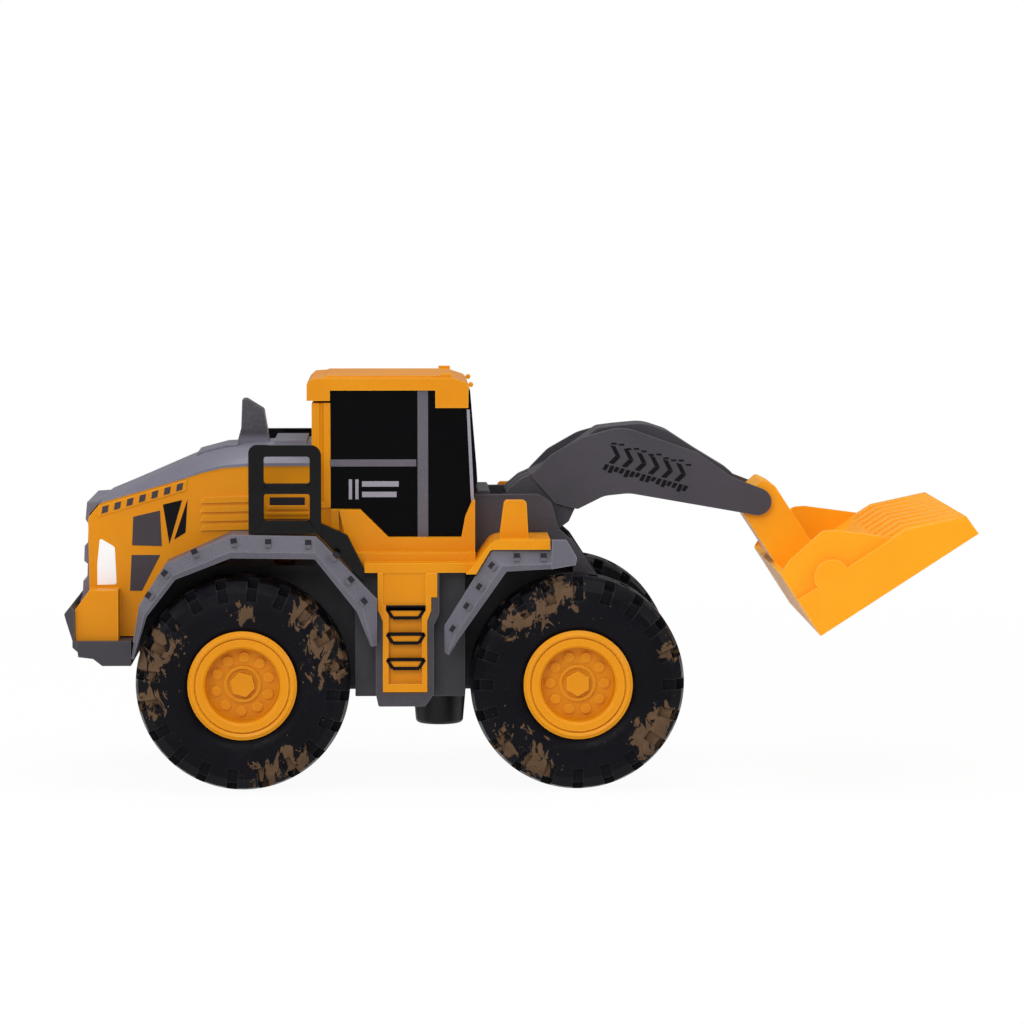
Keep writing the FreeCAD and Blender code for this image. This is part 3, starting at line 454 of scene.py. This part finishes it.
def pockets(name, axle_x, places, tall):
    """Small pockets along a fender's face, painted on: a pale strip of painted highlight on the lower lip
    under a dark slot of painted shade.
    """
    painted_lit_lips = []
    painted_shade_slots = []
    for x, z, turn in places:
        c = math.cos(math.radians(turn))
        s = math.sin(math.radians(turn))

        def turned(low, high):
            corners = (-POCKET_HALF, low), (POCKET_HALF, low), (POCKET_HALF, high), (-POCKET_HALF, high)
            return [(axle_x + x + a * c - b * s, z + a * s + b * c) for a, b in corners]

        # Painted highlight along the pocket's lower lip, painted shade in the slot above it.
        painted_lit_lips.append(turned(-tall, -tall + LIT_LIP_TALL))
        painted_shade_slots.append(turned(-tall + LIT_LIP_TALL, tall))
    low_y = POCKET_FACE - SUNK
    both_sides(
        name + "_frames", painted_lit_lips, low_y, POCKET_FACE + 0.2, PRINT_GREY_AND_HIGHLIGHT, "vehicle", 0.1,
    )
    both_sides(name + "_slots", painted_shade_slots, low_y, POCKET_FACE + 0.08, PRINT_DARK_AND_SHADE, "vehicle")


pockets("rear_pockets", REAR_X, (
    (-33.6, 71.7, 57), (-27.7, 79.7, 50), (-17.0, 87.4, 24), (-2.8, 91.2, 8), (9.7, 90.9, 0),
    (24.3, 90.6, 0), (34.1, 86.1, -46), (39.4, 77.2, -50), (44.2, 69.3, -52),
), 1.6)
pockets("front_pockets", FRONT_X, (
    (-22.5, 85.6, 0), (-12.7, 85.6, 0), (-31.3, 82.3, 50), (-35.8, 74.5, 57), (-40.4, 67.5, 57),
    (-45.5, 59.1, 57),
), 1.5)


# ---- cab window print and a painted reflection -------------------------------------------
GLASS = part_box("cab_glazing")[1].y / MM


def upright(x, low, high, wide):
    return from_rear([(x, low), (x + wide, low), (x + wide, high), (x, high)])


def paint_on_glass(name, outlines, material):
    both_sides(name, outlines, GLASS - 0.5, GLASS + 0.02, material, "vehicle")


bars = [upright(38.9 + 2.4 * i, 105.2, 112.6, 1.2) for i in (0, 1)]
bars += [upright(43.8, 109.9, 111.9, 13.6), upright(43.8, 106.0, 108.0, 12.8)]
mullions = [upright(64.4, 90.2, 145.6, 3.9), upright(32.0, 117.4, 120.0, 31.9)]
shine = [(82.6, 138.5), (83.7, 138.5), (85.4, 104.0), (85.4, 98.0), (84.6, 98.0), (84.0, 108.0)]
paint_on_glass("window_bars", bars, PRINT_PALE_AND_REFLECTION)
paint_on_glass("window_mullions", mullions, PRINT_GREY_AND_HIGHLIGHT)
# Painted reflection: a pale streak of shine on the windscreen.
paint_on_glass("windscreen_shine", [from_rear(shine)], PRINT_PALE_AND_REFLECTION)


# ---- ladder steps: painted shade around each step ----------------------------------------
LADDER_LOW, LADDER_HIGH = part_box("ladder_left")
LADDER_X = LADDER_LOW.x / MM
LADDER_OUT = LADDER_HIGH.y / MM
STEP_Z = (62.9, 53.6, 44.2)
STEP_OUTLINE = ((3.4, 3.1), (17.2, 3.1), (15.1, -0.2), (5.5, -0.2))
OUTLINE_HALF = 0.6
# Painted shade: black outlines around each step stand in for the shadowed gap between the tread and the
# ladder; the last one added is a black bar over the top step.
shaded_step_outlines = []
for z in STEP_Z:
    corners = [Vector((LADDER_X + a, z + b)) for a, b in STEP_OUTLINE]
    for start, end in zip(corners, corners[1:] + corners[:1]):
        run = end - start
        across = Vector((-run.y, run.x)).normalized() * OUTLINE_HALF
        shaded_step_outlines.append([(start - across)[:], (end - across)[:], (end + across)[:], (start + across)[:]])
shaded_step_outlines.append([(LADDER_X + a, z) for a, z in ((3.0, 65.6), (17.6, 65.6), (17.6, 67.3), (3.0, 67.3))])
both_sides(
    "ladder_step_rims", shaded_step_outlines, LADDER_OUT - 1.2, LADDER_OUT + 0.1, PRINT_BLACK_AND_SHADE, "vehicle",
)


# ---- arm print: a row of plain chevrons over slanted stripes -----------------------------
ARM_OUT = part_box("arm_side_left")[1].y / MM
PIVOT = middle("lift_pin")
PRINT_X = PIVOT.x / MM + 29.6
PRINT_Z = PIVOT.z / MM - RAISE + 19.6


def on_arm(points):
    """An outline on the print's own axes, which lean down towards the arm's tip."""
    return [(PRINT_X + a * 0.966 + b * 0.11, PRINT_Z - a * 0.262 + b * 0.98) for a, b in points]


marks = []
for i in range(6):
    a = 0.4 + 5.1 * i
    marks.append(on_arm([(a, 8.2), (a + 2.0, 8.2), (a + 4.4, 4.8), (a + 2.4, 4.8)]))
    marks.append(on_arm([(a + 2.4, 4.7), (a + 4.4, 4.7), (a + 2.0, 1.4), (a, 1.4)]))
for i in range(16):
    a = -0.6 + 2.05 * i
    foot = 0.7 - 2.4 - 0.6 * math.sin(1.9 * i)
    marks.append(on_arm([(a, 0.7), (a + 1.5, 0.7), (a + 0.5, foot), (a - 1.0, foot)]))
for i in range(11):
    a = 0.4 + 2.9 * i
    lift = 9.0 + 0.5 * math.sin(2.3 * i)
    marks.append(on_arm([(a, lift), (a + 2.1, lift + 0.7), (a + 2.5, lift), (a + 0.6, lift - 0.5)]))
both_sides("arm_print", marks, ARM_OUT - SUNK, ARM_OUT + 0.05, PRINT_BLACK_AND_SHADE, "lift_arm")


# ---- stage, light and camera -------------------------------------------------------------
def floor_material():
    """White floor that keeps the shadows; to the camera it brightens to plain white further out."""
    n = Nodes("studio_floor")
    path = n.add("ShaderNodeLightPath")
    colour = n.blend(n.noise(3.0), (0.86, 0.86, 0.86, 1), (0.88, 0.88, 0.88, 1))
    diffuse = n.add("ShaderNodeBsdfDiffuse")
    n.link(colour, diffuse.inputs["Color"])
    glow = n.add("ShaderNodeEmission")
    glow.inputs["Color"].default_value = (1, 1, 1, 1)
    glow.inputs["Strength"].default_value = 1.0
    away = n.add("ShaderNodeVectorMath", operation="LENGTH")
    n.link(n.place, away.inputs[0])
    glow_share = n.ramp(away.outputs["Value"], 0.25, 0.9, 0.95, 1.0)
    seen = n.math("MAXIMUM", path.outputs["Is Camera Ray"], path.outputs["Is Glossy Ray"])
    seen = n.math("MULTIPLY", seen, glow_share)
    mix = n.add("ShaderNodeMixShader")
    n.link(seen, mix.inputs[0])
    n.link(diffuse.outputs[0], mix.inputs[1])
    n.link(glow.outputs[0], mix.inputs[2])
    output = n.add("ShaderNodeOutputMaterial")
    n.link(mix.outputs[0], output.inputs["Surface"])
    return n.material


floor_bm = bmesh.new()
bmesh.ops.create_grid(floor_bm, x_segments=1, y_segments=1, size=6.0)
floor_mesh = bpy.data.meshes.new("floor")
floor_bm.to_mesh(floor_mesh)
floor_bm.free()
floor_mesh.materials.append(floor_material())
floor = bpy.data.objects.new("floor", floor_mesh)
floor.location.z = -0.0002
bpy.context.scene.collection.objects.link(floor)

world = bpy.data.worlds.new("studio")
world.use_nodes = True
bpy.context.scene.world = world
tree = world.node_tree
background = tree.nodes["Background"]
light_path = tree.nodes.new("ShaderNodeLightPath")
seen = tree.nodes.new("ShaderNodeMath")
seen.operation = "MAXIMUM"
tree.links.new(light_path.outputs["Is Camera Ray"], seen.inputs[0])
tree.links.new(light_path.outputs["Is Transmission Ray"], seen.inputs[1])
strength = tree.nodes.new("ShaderNodeMapRange")
tree.links.new(seen.outputs[0], strength.inputs["Value"])
strength.inputs["To Min"].default_value = 0.3
strength.inputs["To Max"].default_value = 1.0
tree.links.new(strength.outputs[0], background.inputs["Strength"])
background.inputs["Color"].default_value = (1, 1, 1, 1)


def softbox(name, place, aim, size, power):
    data = bpy.data.lights.new(name, "AREA")
    data.shape = "RECTANGLE"
    data.size = size[0]
    data.size_y = size[1]
    data.energy = power
    obj = bpy.data.objects.new(name, data)
    obj.location = place
    obj.rotation_euler = (Vector(aim) - Vector(place)).to_track_quat("-Z", "Y").to_euler()
    bpy.context.scene.collection.objects.link(obj)


softbox("top_light", (0.05, 0.0, 1.1), (0, 0, 0.05), (1.3, 0.9), 8.5)
softbox("front_light", (-0.35, -1.3, 0.75), (0, 0, 0.07), (0.9, 0.7), 8.4)
softbox("right_light", (1.2, -0.5, 0.7), (0.05, 0, 0.07), (0.6, 0.8), 4.0)
softbox("left_light", (-1.2, -0.3, 0.8), (-0.05, 0, 0.08), (0.6, 0.8), 4.0)

CAMERA_PLACE = (-0.0436, -1.5858, 0.2213 + RAISE * MM)
AZIMUTH = math.radians(1.53)
PITCH = math.radians(4.46)
camera_data = bpy.data.cameras.new("camera")
camera_data.sensor_width = 36.0
camera_data.lens = 147.3
camera = bpy.data.objects.new("camera", camera_data)
camera.location = CAMERA_PLACE
aim = Vector((
    math.sin(AZIMUTH) * math.cos(PITCH), math.cos(AZIMUTH) * math.cos(PITCH), -math.sin(PITCH),
))
camera.rotation_euler = aim.to_track_quat("-Z", "Y").to_euler()
bpy.context.scene.collection.objects.link(camera)
bpy.context.scene.camera = camera
bpy.context.scene.view_settings.view_transform = "Standard"
